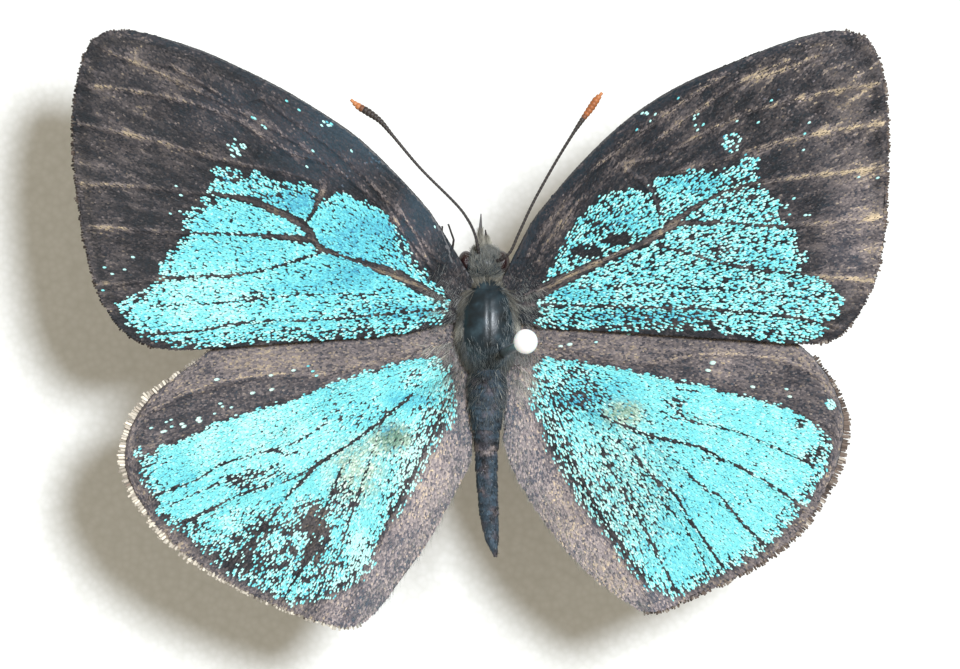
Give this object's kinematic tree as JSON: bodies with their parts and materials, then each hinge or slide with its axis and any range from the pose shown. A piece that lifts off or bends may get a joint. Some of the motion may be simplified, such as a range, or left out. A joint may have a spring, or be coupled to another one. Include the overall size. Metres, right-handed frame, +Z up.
{
  "type": "pinned butterfly specimen",
  "caption": "Spread blue butterfly held on a long insect pin above a block of white pinning foam, wings open flat.",
  "frame": {"origin": "middle of the foam block's underside, on the surface it stands on", "axes": "+Z up along the pin, +Y towards the butterfly's head, +X to its right wings"},
  "size_m": [0.06, 0.045, 0.0406],
  "materials": {
    "white_foam": "fine-celled white polyethylene foam, matte",
    "pin_steel": "drawn stainless steel wire",
    "white_nylon": "moulded white nylon ball",
    "body_cuticle": "dark blue-grey cuticle, dull, with hair at the sides",
    "eye": "dark red-brown faceted eye, glossy",
    "antenna_horn": "thin dark horn, orange-brown at the feelers' clubs",
    "wing_membrane": "thin membrane under dark brown and bright sky-blue overlapping scales"
  },
  "bodies": {
    "root": {"foam_block": "white_foam", "pin_shaft": "pin_steel", "pin_head": "white_nylon", "thorax": "body_cuticle", "head": "body_cuticle", "abdomen": "body_cuticle", "palp_left": "body_cuticle", "palp_right": "body_cuticle", "eye_left": "eye", "eye_right": "eye", "tongue": "antenna_horn", "antenna_left": "antenna_horn", "antenna_right": "antenna_horn", "foreleg_left": "antenna_horn", "foreleg_right": "antenna_horn", "midleg_left": "antenna_horn", "midleg_right": "antenna_horn", "hindleg_left": "antenna_horn", "hindleg_right": "antenna_horn", "forewing_left": "wing_membrane", "forewing_right": "wing_membrane", "hindwing_left": "wing_membrane", "hindwing_right": "wing_membrane"}
  },
  "joints": []
}
